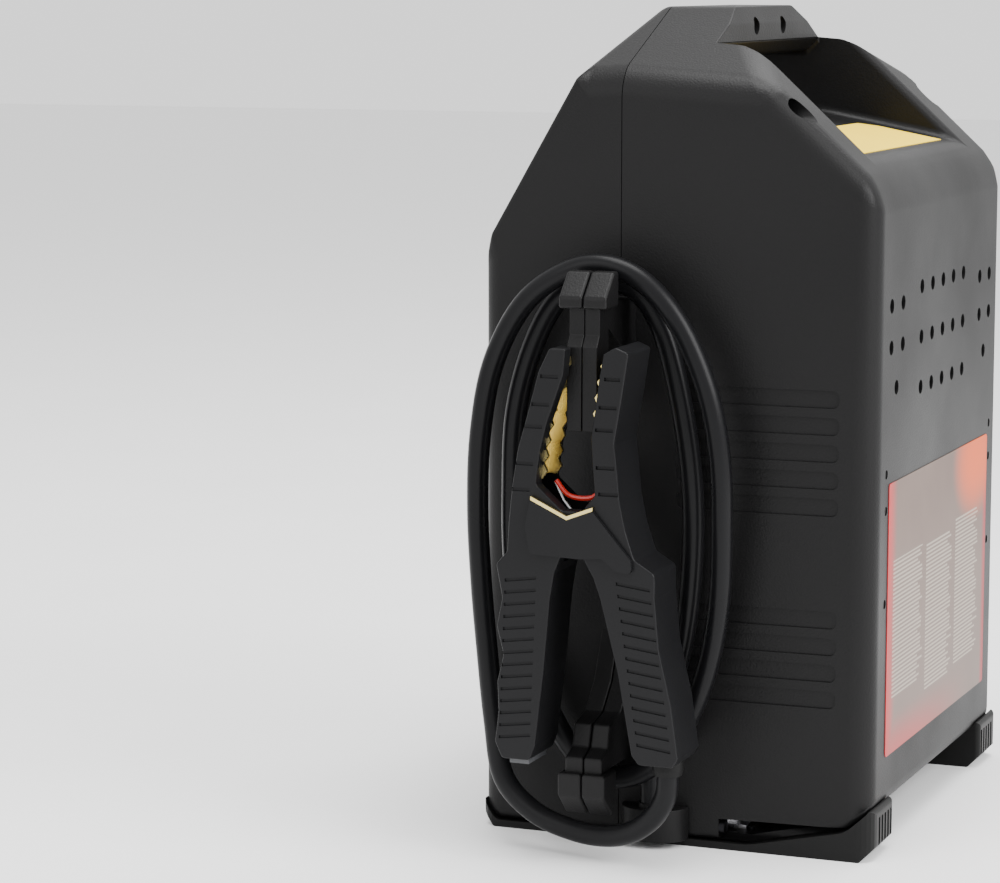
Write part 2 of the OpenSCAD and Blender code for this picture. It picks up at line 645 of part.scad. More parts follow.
module meter_body() color("#121213") translate([meter_x, panel_y, meter_z]) difference() {
    translate([-meter_w / 2, -2.5, -meter_h / 2]) cube([meter_w, 2.5, meter_h]);
    translate([-meter_w / 2 + 3, -3, -meter_h / 2 + 3]) cube([meter_w - 6, 2, meter_h - 6]);
}
module meter_lens() color("#5a6a52")
    translate([meter_x - meter_w / 2 + 3, panel_y - 1.6, meter_z - meter_h / 2 + 3])
        cube([meter_w - 6, 0.6, meter_h - 6]);
module level_lamps() color("#3fae55") for (i = [-2:2]) translate([lamp_x + i * 11, 0, lamp_z]) {
    rod_y(panel_y - 1.5, 4, 2.5);
    rod_y(panel_y + panel_t, 3, 3.2);
}
module charge_inlet() color("#1b1b1c") translate([inlet_x, 0, inlet_z]) difference() {
    union() {
        rod_y(panel_y - 2, 2, 9);
        rod_y(panel_y, 18, 6.9);
    }
    rod_y(panel_y - 3, 14, 4);
}
module switch_body() color("#202124") translate([switch_x, 0, switch_z]) {
    difference() {
        rod_y(panel_y + panel_t, 26, 20);
        rod_y(panel_y + panel_t - 1, 10, 4 + run_gap);
    }
}
module switch_shaft() color("#b9bbbd") translate([switch_x, 0, switch_z])
    rod_y(panel_y - 7, 15, 4);
module switch_knob() color("#a3211c") translate([switch_x, 0, switch_z]) difference() {
    union() {
        rod_y(panel_y - 5, 4.5, knob_d / 2);
        translate([-5, panel_y - 12, -knob_d / 2 + 1]) cube([10, 8, knob_d - 2]);
    }
    rod_y(panel_y - 7, 8, 4);
}
module test_bezel() color("#c0c2c4") translate([button_x, 0, test_z]) difference() {
    union() {
        rod_y(panel_y - 2, 2, test_d / 2 + 3);
        rod_y(panel_y, 9, test_d / 2 + 1.4);
    }
    rod_y(panel_y - 3, 14, test_d / 2 + run_gap);
}
module test_button() color("#c9a31c") translate([button_x, 0, test_z]) {
    rod_y(panel_y - 2 - press - 0.5, 6, test_d / 2);
}
module reset_bezel() color("#26272a") translate([reset_x, 0, socket_z]) difference() {
    union() {
        rod_y(panel_y - 1.5, 1.5, 8.5);
        rod_y(panel_y, 16, 6.4);
    }
    rod_y(panel_y - 3, 12, 4 + run_gap);
}
module reset_button() color("#efefec") translate([reset_x, 0, socket_z])
    rod_y(panel_y - 1.5 - press - 0.5, 8, 4);
module socket_barrels() color("#18181a") for (s = [-1, 1]) translate([s * socket_x, 0, socket_z])
    difference() {
        union() {
            rod_y(panel_y - 1.5, 1.5, socket_d / 2 + 4);
            rod_y(panel_y, 38, socket_d / 2 + 1.8);
        }
        rod_y(panel_y - 3, 37, socket_d / 2);
    }
module socket_contacts() color("#b08d3e") for (s = [-1, 1])
    translate([s * socket_x, 0, socket_z]) rod_y(panel_y + 30, 4, 4);
cap_t = 2.4;
cap_front = panel_y - 1.5 - pass_gap - cap_t;
cap_z = socket_z + socket_d / 2 + 7;
module cap_brackets() color("#18181a") for (s = [-1, 1], e = [-1, 1])
    translate([s * socket_x + e * 8 - 1.5, panel_y - 4.6, cap_z - 2.4]) difference() {
        cube([3, 4.6, 4.8]);
        translate([-1, 2.2, 2.4]) rotate([0, 90, 0]) cylinder(5, 1, 1);
    }
module cap_pins() color("#b9bbbd") for (s = [-1, 1])
    translate([s * socket_x - 9.5, panel_y - 2.4, cap_z]) rotate([0, 90, 0])
        cylinder(19, 1, 1);
module socket_cap(side) {
    translate([side * socket_x, 0, 0]) difference() {
        union() {
            translate([0, 0, socket_z]) rod_y(cap_front, cap_t, socket_d / 2 + 3.6);
            translate([-5.5, panel_y - 2.4, cap_z]) rotate([0, 90, 0]) cylinder(11, 2, 2);
            translate([-5.5, cap_front, socket_z + 6]) cube([11, cap_t, cap_z - socket_z - 6]);
            translate([-4, cap_front - 1.6, socket_z - socket_d / 2 - 3]) cube([8, 2.4, 3]);
        }
        translate([-6.5, panel_y - 2.4, cap_z]) rotate([0, 90, 0])
            cylinder(13, 1 + run_gap, 1 + run_gap);
    }
}
module socket_cap_left() color("#1e1e20") socket_cap(-1);
module socket_cap_right() color("#1e1e20") socket_cap(1);
board_y = panel_y + 46;
module control_board() color("#2f6b3c") translate([-70, board_y, panel_z + 2]) difference() {
    cube([140, 1.6, 52]);
    for (x = [6, 134], z = [6, 46]) translate([x, -1, z]) rotate([-90, 0, 0])
        cylinder(4, 1.7, 1.7);
}
module board_spacers() color("#c7b27a") for (x = [-64, 64], z = [8, 48])
    translate([x, 0, panel_z + z]) {
        rod_y(panel_y + panel_t, board_y - panel_y - panel_t, 3);
        rod_y(board_y - 1, 4, 1.65);
    }

// ---- battery and its wiring ----
pad_t = 4;
battery_z = foot_h + wall + pad_t;
battery_y = -4;
lid_h = 16;
post_x = battery_l / 2 - 24;
post_y = battery_y - battery_d / 2 + 22;
battery_top = battery_z + battery_h;
module battery_case() color("#2b2c30")
    translate([-battery_l / 2, battery_y - battery_d / 2, battery_z])
        cube([battery_l, battery_d, battery_h - lid_h]);
module battery_lid() color("#3b3d42")
    translate([-battery_l / 2 + 1, battery_y - battery_d / 2 + 1, battery_top - lid_h]) difference() {
        cube([battery_l - 2, battery_d - 2, lid_h]);
        for (x = [23, battery_l - 25]) translate([x, 21, lid_h - 6]) cylinder(8, 4.1, 4.1);
    }
module battery_posts() color("#9a9da1") for (s = [-1, 1])
    translate([s * post_x, post_y, battery_top - 6]) {
        cylinder(6, 4, 4);
        translate([0, 0, 6]) cylinder(3, 9, 9);
        translate([0, 0, 9]) cylinder(9, 4, 4);
    }
module battery_pads() color("#17181a") for (s = [-1, 1])
    translate([s * 60 - 25, battery_y - 55, foot_h + wall]) cube([50, 100, pad_t]);
strap_y = battery_y + 18;
strap_w = 24;
strap_t = 2;
strap_bolt_x = battery_l / 2 + 13;
module hold_down_strap() color("#6f7276") difference() {
    union() {
        translate([-battery_l / 2 - strap_t - 0.2, strap_y, battery_top])
            cube([battery_l + 2 * strap_t + 0.4, strap_w, strap_t]);
        for (s = [-1, 1]) translate([s * (battery_l / 2 + 1.2) - 1, strap_y, foot_h + wall])
            cube([2, strap_w, battery_top - foot_h - wall + 1]);
        for (s = [-1, 1]) translate([s * (battery_l / 2 + 11) - 10.8, strap_y, foot_h + wall])
            cube([21.6, strap_w, strap_t]);
    }
    both_ends() translate([strap_bolt_x, strap_y + strap_w / 2, 0]) cylinder(30, 3.1, 3.1);
}
module strap_bolts() color("#a6a9ad") both_ends()
    translate([strap_bolt_x, strap_y + strap_w / 2, foot_h]) {
        cylinder(wall + strap_t, 3, 3);
        translate([0, 0, wall + strap_t]) cylinder(4, 5.5, 5.5, $fn = 6);
    }
lug_z = battery_top + 3;
module lead_lugs() color("#c9a46a") for (s = [-1, 1]) translate([s * post_x, post_y, lug_z])
    difference() {
        union() {
            cylinder(2, 8, 8);
            translate([s > 0 ? 0 : -22, -5, 0]) cube([22, 10, 2]);
            translate([s * 16, 0, 4.4]) rotate([0, s * 90, 0]) cylinder(12, 4.6, 4.6);
        }
        translate([0, 0, -1]) cylinder(5, 4.05, 4.05);
    }
module lead(points) {
    tube(smooth_line(points, 4), lead_r, 10, [0, 1, 0]);
}
lead_x = post_x + 28;
function lead_points(s) = [[s * lead_x, post_y, lug_z + 4.4], [s * (lead_x + 3), post_y, lug_z + 4.4],
    [s * (lead_x + 6), post_y, lug_z + 4.4],
    [s * (lead_x + 13), post_y + 3, lug_z - 3], [s * (lead_x + 15), post_y + 12, lug_z - 30],
    [s * (lead_x + 14), -20, 90], [s * (lead_x + 13), gland_y, 44],
    [s * (lead_x + 16), gland_y, 26], [s * (lead_x + 22), gland_y, lead_exit_z + 1],
    [s * (end_x - 6), gland_y, lead_exit_z], [s * (end_x + 1), gland_y, lead_exit_z]];
module negative_lead() color("#151517") lead(lead_points(1));
module positive_lead() color("#a3201a") lead(lead_points(-1));
fuse_y = 38.5;
fuse_top = battery_top;
module fuse_carrier() color("#242528") translate([-35, fuse_y, fuse_top]) {
    cube([70, 22, 4]);
    for (x = [8, 62]) translate([x, 11, 4]) cylinder(12, 4, 4);
}
module main_fuse() color("#d8c06a") translate([-35, fuse_y, fuse_top + 7]) difference() {
    union() {
        translate([0, 4, 0]) cube([70, 14, 2]);
        translate([22, 3, 0]) cube([26, 16, 9]);
    }
    for (x = [8, 62]) translate([x, 11, -1]) cylinder(5, 4.05, 4.05);
}

front_shell();
rear_shell();
front_cleats();
rear_cleats();
gland_hoods();
foot_near();
foot_far();
foot_screws();
shell_screws();
trim_screws();
instruction_label();
recess_label();
cable_gland();
spare_gland();
black_cable();
clamp_fixed_arm();
clamp_moving_arm();
clamp_fixed_jaw();
clamp_moving_jaw();
clamp_pivot_pin();
clamp_spring();
clamp_cover();
clamp_bond_strip();
clamp_bond_wire();
clamp_collar();
clamp_end_cap();
panel_plate();
panel_screws();
meter_body();
meter_lens();
level_lamps();
charge_inlet();
switch_body();
switch_shaft();
switch_knob();
test_bezel();
test_button();
reset_bezel();
reset_button();
socket_barrels();
socket_contacts();
cap_brackets();
cap_pins();
socket_cap_left();
socket_cap_right();
control_board();
board_spacers();
battery_case();
battery_lid();
battery_posts();
battery_pads();
hold_down_strap();
strap_bolts();
lead_lugs();
negative_lead();
positive_lead();
fuse_carrier();
main_fuse();
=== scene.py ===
import math

import bmesh
import bpy
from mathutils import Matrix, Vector


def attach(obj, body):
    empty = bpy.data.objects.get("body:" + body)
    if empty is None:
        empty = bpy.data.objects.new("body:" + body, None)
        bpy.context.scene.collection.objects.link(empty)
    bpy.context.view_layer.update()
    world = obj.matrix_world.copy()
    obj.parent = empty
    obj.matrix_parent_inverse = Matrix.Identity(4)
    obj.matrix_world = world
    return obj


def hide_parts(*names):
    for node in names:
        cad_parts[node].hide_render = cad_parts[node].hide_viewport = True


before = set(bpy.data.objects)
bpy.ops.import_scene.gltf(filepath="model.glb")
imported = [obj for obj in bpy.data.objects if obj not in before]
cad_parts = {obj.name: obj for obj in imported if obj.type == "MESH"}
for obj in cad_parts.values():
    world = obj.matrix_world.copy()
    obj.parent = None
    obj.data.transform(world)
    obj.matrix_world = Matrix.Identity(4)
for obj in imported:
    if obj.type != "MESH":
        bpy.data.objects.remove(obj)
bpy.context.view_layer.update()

# lengths below are written in millimetres and turned into metres where a mesh is made
mm = 0.001
seamY = -30.0  # where the two case halves meet
endX = 140.0  # end walls, at the seam
faceY = 113.0  # front and rear faces

# camera
view = {"lens": 119.8, "sensor": 36.0, "spot": (1.8335, 0.5854, 0.4757), "down": 7.99,
        "turn": 112.06}
camera = bpy.data.cameras.new("camera")
camera.sensor_width = view["sensor"]
camera.lens = view["lens"]
cameraObject = bpy.data.objects.new("camera", camera)
cameraObject.location = view["spot"]
cameraObject.rotation_euler = (math.radians(90 - view["down"]), 0.0, math.radians(view["turn"]))
bpy.context.collection.objects.link(cameraObject)
bpy.context.scene.camera = cameraObject
print("camera placed")


# materials
def linkMath(nodes, links, kind, a, b=None, clamp=False):
    node = nodes.new("ShaderNodeMath")
    node.operation = kind
    node.use_clamp = clamp
    for i, v in enumerate((a, b)):
        if v is None:
            continue
        if isinstance(v, (int, float)):
            node.inputs[i].default_value = v
        else:
            links.new(v, node.inputs[i])
    return node.outputs[0]


def surface(name, dark, pale, rough, grain=900.0, bump=0.12, metal=0.0, wear=7.0, coat=0.0,
            roughSpread=0.08, specular=0.5):
    # fine grain as relief, and slow wear in colour and gloss
    mat = bpy.data.materials.new(name)
    mat.use_nodes = True
    nodes, links = mat.node_tree.nodes, mat.node_tree.links
    shader = nodes["Principled BSDF"]
    shader.inputs["Metallic"].default_value = metal
    shader.inputs["Coat Weight"].default_value = coat
    shader.inputs["Specular IOR Level"].default_value = specular
    coords = nodes.new("ShaderNodeTexCoord")
    fine = nodes.new("ShaderNodeTexNoise")
    fine.inputs["Scale"].default_value = grain
    fine.inputs["Detail"].default_value = 2.0
    links.new(coords.outputs["Object"], fine.inputs["Vector"])
    slow = nodes.new("ShaderNodeTexNoise")
    slow.inputs["Scale"].default_value = wear
    slow.inputs["Detail"].default_value = 4.0
    links.new(coords.outputs["Object"], slow.inputs["Vector"])
    ramp = nodes.new("ShaderNodeMix")
    ramp.data_type = "RGBA"
    ramp.inputs["A"].default_value = (*dark, 1)
    ramp.inputs["B"].default_value = (*pale, 1)
    links.new(slow.outputs["Fac"], ramp.inputs["Factor"])
    links.new(ramp.outputs["Result"], shader.inputs["Base Color"])
    spread = nodes.new("ShaderNodeMapRange")
    spread.inputs["From Min"].default_value = 0.3
    spread.inputs["From Max"].default_value = 0.7
    spread.inputs["To Min"].default_value = rough - roughSpread
    spread.inputs["To Max"].default_value = rough + roughSpread
    links.new(slow.outputs["Fac"], spread.inputs["Value"])
    links.new(spread.outputs[0], shader.inputs["Roughness"])
    relief = nodes.new("ShaderNodeBump")
    relief.inputs["Strength"].default_value = bump
    relief.inputs["Distance"].default_value = 0.0002
    links.new(fine.outputs["Fac"], relief.inputs["Height"])
    links.new(relief.outputs[0], shader.inputs["Normal"])
    return mat


casePlastic = surface("casePlastic", (0.0035, 0.0034, 0.0036), (0.0065, 0.0063, 0.0065), 0.44,
                      grain=850, bump=0.75, specular=0.16)
darkRubber = surface("darkRubber", (0.0033, 0.0033, 0.0033), (0.0072, 0.0072, 0.0072), 0.5, bump=0.3,
                     specular=0.13)
footRubber = surface("footRubber", (0.0036, 0.0036, 0.0036), (0.0072, 0.0072, 0.0072), 0.42, bump=0.3,
                     specular=0.13)
cableJacket = surface("cableJacket", (0.003, 0.003, 0.0036), (0.0066, 0.0066, 0.0072), 0.33,
                      grain=500, bump=0.12, specular=0.13)
clampPlastic = surface("clampPlastic", (0.0048, 0.0048, 0.0052), (0.0096, 0.0096, 0.0104), 0.38,
                       bump=0.25, specular=0.13)
handleRubber = surface("handleRubber", (0.0045, 0.0045, 0.005), (0.01, 0.01, 0.0105), 0.55, bump=0.4,
                       specular=0.13)
brassSheet = surface("brassSheet", (0.6, 0.47, 0.16), (0.86, 0.72, 0.34), 0.3, grain=300,
                     bump=0.15, metal=1.0, wear=60)
steelMetal = surface("steelMetal", (0.42, 0.42, 0.43), (0.62, 0.62, 0.64), 0.3, grain=500,
                     metal=1.0, wear=60)
blackSteel = surface("blackSteel", (0.012, 0.012, 0.013), (0.022, 0.022, 0.024), 0.4, grain=500,
                     metal=1.0, wear=60)
chromeMetal = surface("chromeMetal", (0.6, 0.6, 0.62), (0.7, 0.7, 0.72), 0.12, bump=0.02,
                      metal=1.0, roughSpread=0.03)
panelPlastic = surface("panelPlastic", (0.045, 0.046, 0.05), (0.06, 0.062, 0.066), 0.5, bump=0.4)
glossBlack = surface("glossBlack", (0.01, 0.01, 0.01), (0.018, 0.018, 0.018), 0.25, bump=0.05)
redPlastic = surface("redPlastic", (0.36, 0.012, 0.008), (0.5, 0.02, 0.012), 0.32, bump=0.1)
amberPlastic = surface("amberPlastic", (0.62, 0.33, 0.02), (0.75, 0.42, 0.04), 0.3, bump=0.08)
palePlastic = surface("palePlastic", (0.62, 0.62, 0.6), (0.74, 0.74, 0.71), 0.4, bump=0.1)
greyPlastic = surface("greyPlastic", (0.16, 0.16, 0.165), (0.26, 0.26, 0.27), 0.45, bump=0.2)
greenLens = surface("greenLens", (0.02, 0.28, 0.04), (0.04, 0.42, 0.07), 0.2, bump=0.02, coat=0.5)
boardGreen = surface("boardGreen", (0.01, 0.09, 0.02), (0.02, 0.14, 0.04), 0.4, bump=0.1)
batteryPlastic = surface("batteryPlastic", (0.03, 0.03, 0.034), (0.045, 0.045, 0.05), 0.5)
yellowGloss = surface("yellowGloss", (0.8, 0.55, 0.03), (0.88, 0.62, 0.05), 0.5, grain=300,
                      bump=0.04, wear=14, specular=0.012)
meterGlass = surface("meterGlass", (0.10, 0.13, 0.09), (0.14, 0.17, 0.12), 0.12, bump=0.01,
                     coat=0.6)
print("materials made")


# mesh helpers
def unit(v):
    n = math.hypot(*v)
    return [c / n for c in v]


def softOutline(points, radii, steps=6):
    # the closed outline with each corner rounded to its own radius
    out = []
    n = len(points)
    for i, b in enumerate(points):
        r = radii[i]
        if r <= 0:
            out.append(tuple(b))
            continue
        p, q = points[i - 1], points[(i + 1) % n]
        u = unit((p[0] - b[0], p[1] - b[1]))
        v = unit((q[0] - b[0], q[1] - b[1]))
        half = math.acos(max(-1, min(1, u[0] * v[0] + u[1] * v[1]))) / 2
        w = unit((u[0] + v[0], u[1] + v[1]))
        c = (b[0] + w[0] * r / math.sin(half), b[1] + w[1] * r / math.sin(half))
        t = r / math.tan(half)
        a0 = math.atan2(b[1] + u[1] * t - c[1], b[0] + u[0] * t - c[0])
        a1 = math.atan2(b[1] + v[1] * t - c[1], b[0] + v[0] * t - c[0])
        sweep = (a1 - a0 + math.pi) % (2 * math.pi) - math.pi
        for k in range(steps + 1):
            a = a0 + sweep * k / steps
            out.append((c[0] + r * math.cos(a), c[1] + r * math.sin(a)))
    return out


def place(axis, p, h):
    if axis == "x":
        return Vector((h, p[0], p[1])) * mm
    if axis == "y":
        return Vector((p[0], h, p[1])) * mm
    return Vector((p[0], p[1], h)) * mm


def addPrism(bm, outline, axis, low, high):
    # the outline, extruded along an axis from low to high
    ends = [[bm.verts.new(place(axis, p, h)) for p in outline] for h in (low, high)]
    bm.faces.new(ends[0])
    bm.faces.new(list(reversed(ends[1])))
    n = len(outline)
    for i in range(n):
        j = (i + 1) % n
        bm.faces.new((ends[0][j], ends[0][i], ends[1][i], ends[1][j]))


def circle(x, z, r, steps=28, start=0.0):
    return [(x + r * math.cos(start + 2 * math.pi * k / steps),
             z + r * math.sin(start + 2 * math.pi * k / steps)) for k in range(steps)]


def rectangle(x0, z0, x1, z1):
    return [(x0, z0), (x1, z0), (x1, z1), (x0, z1)]


def meshObject(name, bm):
    bmesh.ops.recalc_face_normals(bm, faces=bm.faces)
    mesh = bpy.data.meshes.new(name)
    bm.to_mesh(mesh)
    bm.free()
    obj = bpy.data.objects.new(name, mesh)
    bpy.context.collection.objects.link(obj)
    return obj


def prismObject(name, outline, axis, low, high):
    bm = bmesh.new()
    addPrism(bm, outline, axis, low, high)
    return meshObject(name, bm)


def applyAll(obj):
    # turns the object's modifiers into plain mesh
    bpy.context.view_layer.update()
    graph = bpy.context.evaluated_depsgraph_get()
    mesh = bpy.data.meshes.new_from_object(obj.evaluated_get(graph))
    old = obj.data
    obj.modifiers.clear()
    obj.data = mesh
    bpy.data.meshes.remove(old)
    return obj


def cut(obj, tool, kind="DIFFERENCE"):
    mod = obj.modifiers.new("cut", "BOOLEAN")
    mod.operation = kind
    mod.solver = "MANIFOLD"
    mod.object = tool
    applyAll(obj)
    bpy.data.objects.remove(tool)
    return obj


def bevel(obj, width, segments=3, angle=30.0):
    mod = obj.modifiers.new("bevel", "BEVEL")
    mod.width = width * mm
    mod.segments = segments
    mod.limit_method = "ANGLE"
    mod.angle_limit = math.radians(angle)
    mod.use_clamp_overlap = True
    return applyAll(obj)


def finishPiece(obj, material, body, angle=34.0, replaced=()):
    # smooth shading with flat faces kept flat, then the material and the body
    obj.data.materials.clear()
    obj.data.materials.append(material)
    for poly in obj.data.polygons:
        poly.use_smooth = True
        poly.material_index = 0
    obj.data.set_sharp_from_angle(angle=math.radians(angle))
    mod = obj.modifiers.new("normals", "WEIGHTED_NORMAL")
    mod.keep_sharp = True
    mod.weight = 80
    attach(obj, body)
    if replaced:
        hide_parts(*replaced)
    return obj


# booster cable
cable = {"diameter": 12.0, "glandX": 147.2, "glandY": -8.0, "collarX": 194.0, "collarY": 17.5,
         "stepsPerSpan": 6}
glandX, collarX, collarY = cable["glandX"], cable["collarX"], cable["collarY"]
cableRoute = [
    (glandX, -8, 11), (glandX, -8, 32), (glandX, -8, 48), (148, 1, 82), (149, 11, 121),
    (151, 16, 163), (153, 16, 205), (154, 10, 247), (155, 0, 285), (156, -14, 306.6),
    (156, -36, 313.2), (156, -59, 302.8), (156, -75, 275), (156, -85, 238), (156, -87, 196),
    (156, -86, 154), (156, -79, 112), (156, -65, 74), (156, -47, 48), (156, -26, 39),
    (156, -4, 48), (157, 14, 72), (159, 27, 103), (163, 35, 140), (165, 37, 180),
    (166, 36, 219), (167, 29, 256), (168, 14, 290), (169, -6, 313), (169, -29, 322),
    (169, -52, 317), (168, -76, 299), (167, -94, 266), (166, -102, 227), (165, -104, 186),
    (165, -102, 145), (166, -98, 106), (168, -93, 68), (171, -86, 37), (175, -66, 20),
    (180, -41, 13.5), (185, -21, 13.5), (189.5, -4, 18.5), (192.8, 9, 28.5),
    (collarX, collarY - 1.1, 41), (collarX, collarY, 52.85)]


def smoothRoute(points, n):
    out = []
    for i in range(len(points) - 1):
        a, b = Vector(points[max(i - 1, 0)]), Vector(points[i])
        c, d = Vector(points[i + 1]), Vector(points[min(i + 2, len(points) - 1)])
        for k in range(n):
            t = k / n
            out.append(0.5 * (2 * b + (c - a) * t + (2 * a - 5 * b + 4 * c - d) * t ** 2
                              + (3 * b - a - 3 * c + d) * t ** 3))
    out.append(Vector(points[-1]))
    return out


def tubeCurve(name, points, diameter, material):
    curve = bpy.data.curves.new(name, "CURVE")
    curve.dimensions = "3D"
    curve.bevel_depth = diameter / 2 * mm
    curve.bevel_resolution = 5
    curve.use_fill_caps = True
    spline = curve.splines.new("POLY")
    spline.points.add(len(points) - 1)
    for target, p in zip(spline.points, points):
        target.co = (*(p * mm), 1)
    curve.materials.append(material)
    obj = bpy.data.objects.new(name, curve)
    bpy.context.collection.objects.link(obj)
    return obj


cableLine = smoothRoute(cableRoute, cable["stepsPerSpan"])
boosterCable = tubeCurve("booster_cable", cableLine, cable["diameter"], cableJacket)
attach(boosterCable, "case")
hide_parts("black_cable")


# case
case = {"topZ": 458.0, "bottomZ": 4.0, "wall": 7.0, "floor": 3.5, "seamGap": 0.44,
        "hipZ": 423.0, "hipRise": 0.433, "hipFall": 0.0787, "endDraft": 0.022,
        "openingX": 96.0, "shelfZ": 394.0, "shelfY": 10.0, "shelfFall": 0.19}
topZ, bottomZ, openingX = case["topZ"], case["bottomZ"], case["openingX"]
# seen from the end: floor, rear face, roof, grip and front face
sideOutline = [(-faceY, bottomZ), (45, bottomZ), (100, 16), (faceY, 28), (faceY, 363), (10, topZ),
               (-35, topZ), (-faceY, 325)]
roundings = {"grip": 3.0, "gripRear": 0.8, "openingEnds": 5.0, "openingFrontEnds": 3.5, "shelfRear": 12.0,
             "shelfFront": 8.0, "openingRim": 9.0, "floor": 5.0, "floorFront": 10.0,
             "endCorners": 13.0, "roofFrontEnds": 4.0, "roofEnds": 12.0, "ridgeEnds": 4.5,
             "ridgeRear": 9.0, "ridgeFront": 3.5, "rearBend": 14.0, "frontBend": 11.0}


def casePlanes(floorIn, wallIn):
    # points and outward normals of the case's faces, each with how far it moves in
    planes = []
    for i, a in enumerate(sideOutline):
        b = sideOutline[(i + 1) % len(sideOutline)]
        n = Vector((0, b[1] - a[1], a[0] - b[0])).normalized()
        planes.append((Vector((0, a[0], a[1])), n, floorIn if i < 3 else wallIn))
    for side in (-1, 1):
        for half in (-1, 1):
            planes.append((Vector((side * endX, seamY, 0)),
                           Vector((side, half * case["endDraft"], 0)).normalized(), wallIn))
            planes.append((Vector((side * endX, seamY, case["hipZ"])),
                           Vector((side * case["hipRise"], half * case["hipFall"], 1)).normalized(), wallIn))
    return planes


def planeSolid(name, planes):
    bm = bmesh.new()
    addPrism(bm, rectangle(-300, -300, 300, 300), "z", -100, 700)
    for point, normal, inward in planes:
        geom = list(bm.verts) + list(bm.edges) + list(bm.faces)
        made = bmesh.ops.bisect_plane(bm, geom=geom, plane_co=(point - normal * inward) * mm,
                                      plane_no=normal, clear_outer=True, dist=1e-7)
        rim = [e for e in made["geom_cut"] if isinstance(e, bmesh.types.BMEdge)]
        if len(rim) > 2:
            bmesh.ops.contextual_create(bm, geom=rim)
    return meshObject(name, bm)


def shelfAt(y):
    return case["shelfZ"] - (y - case["shelfY"]) * case["shelfFall"]


def handOpening(g):
    past = 180  # clear of both faces
    tool = prismObject("opening", [(-past, shelfAt(case["shelfY"]) - g),
                                   (case["shelfY"], shelfAt(case["shelfY"]) - g),
                                   (past, shelfAt(past) - g), (past, 520), (-past, 520)],
                       "x", -openingX - g, openingX + g)
    grip = prismObject("gripTool", [(-110, 430 + g), (1 - g, 430 + g), (9 - g, 438 + g),
                                    (9 - g, 448.5), (1 - g, 470), (-110, 470)],
                       "x", -openingX - 30, openingX + 30)
    return cut(tool, grip)


def weighBevels(obj, widest):
    # gives every edge of the case the width of its own rounding
    bm = bmesh.new()
    bm.from_mesh(obj.data)
    bmesh.ops.dissolve_limit(bm, angle_limit=0.002, verts=bm.verts, edges=bm.edges)
    layer = bm.edges.layers.float.new("bevel_weight_edge")
    for edge in bm.edges:
        if len(edge.link_faces) != 2:
            continue
        a, b = [v.co / mm for v in edge.verts]
        mid = (a + b) / 2
        turn = edge.calc_face_angle()
        if turn < 0.1 or (abs(a.y - seamY) < 0.2 and abs(b.y - seamY) < 0.2):
            continue
        n1, n2 = [f.normal for f in edge.link_faces]
        inOpening = max(abs(a.x), abs(b.x)) < openingX + 0.3 and mid.z > 360
        sideways = max(abs(n1.x), abs(n2.x))
        if inOpening:
            if mid.z > 425:
                kind = "gripRear" if mid.y > 5 else "grip"
            elif abs(a.x) > openingX - 0.3 and abs(b.x) > openingX - 0.3:
                kind = "openingFrontEnds" if mid.y < -40 else "openingEnds"
            elif mid.z < 385:
                kind = "shelfRear"
            elif mid.y < -40 and mid.z < 400:
                kind = "shelfFront"
            else:
                kind = "openingRim"
        elif mid.z < 30:
            kind = "floorFront" if mid.y < -100 and abs(mid.x) < 100 else "floor"
        elif sideways > 0.9:
            kind = "endCorners"
        elif sideways > 0.2 and mid.y < -36:
            kind = "roofFrontEnds"
        elif sideways > 0.2:
            kind = "roofEnds" if min(abs(n1.z), abs(n2.z)) < 0.9 else "ridgeEnds"
        elif mid.z > 450:
            kind = "ridgeRear" if mid.y > -10 else "ridgeFront"
        else:
            kind = "rearBend" if mid.y > 0 else "frontBend"
        edge[layer] = roundings[kind] / widest
    bm.to_mesh(obj.data)
    bm.free()
    mod = obj.modifiers.new("bevel", "BEVEL")
    mod.width = widest * mm
    mod.segments = 6
    mod.limit_method = "WEIGHT"
    mod.use_clamp_overlap = False
    mod.miter_outer = "MITER_SHARP"
    return applyAll(obj)


caseSolid = planeSolid("caseSolid", casePlanes(0, 0))
cut(caseSolid, handOpening(0))
weighBevels(caseSolid, 20.0)
hollow = planeSolid("hollow", casePlanes(case["floor"], case["wall"]))
cut(hollow, handOpening(6))
print("case body made", len(caseSolid.data.polygons))

# cleats, mirrored to both ends
cleatShapes = [
    # outline across the end and up, half width, rounding
    ([(138, 263), (182, 289), (182, 236), (200, 236), (200, 281), (196, 287), (196, 304),
      (182, 304), (182, 303), (138, 303)], 8.5, 1.2),
    ([(180, 301), (200, 301), (200, 307), (187, 320), (180, 320)], 13.5, 1.6),
    ([(138, 50), (182, 50), (182, 46), (196, 46), (196, 58), (186, 62), (182, 74), (166, 78),
      (152, 92), (138, 122)], 10.5, 1.2),
    ([(180, 37.5), (187, 25), (200, 37.5), (200, 50), (180, 50)], 13.5, 1.6)]
for name, side in (("front_cleats", -1), ("rear_cleats", 1)):
    bm = bmesh.new()
    for end in (-1, 1):
        for outline, half, rounding in cleatShapes:
            shape = [(end * x, z) for x, z in outline]
            low, high = sorted((seamY + side * 0.2, seamY + side * half))
            piece = prismObject("cleat", shape, "y", low, high)
            bevel(piece, rounding)
            bm.from_mesh(piece.data)
            bpy.data.objects.remove(piece)
    finishPiece(meshObject(name + "_moulded", bm), casePlastic, "case", replaced=(name,))
print("cleats made")

# room for the control panel in the front face
panel = {"width": 172.0, "height": 142.0, "middleZ": 233.0, "backY": 13 - faceY}


def panelBox(grow):
    halfW, halfH = panel["width"] / 2 + grow, panel["height"] / 2 + grow
    return rectangle(-halfW, panel["middleZ"] - halfH, halfW, panel["middleZ"] + halfH)


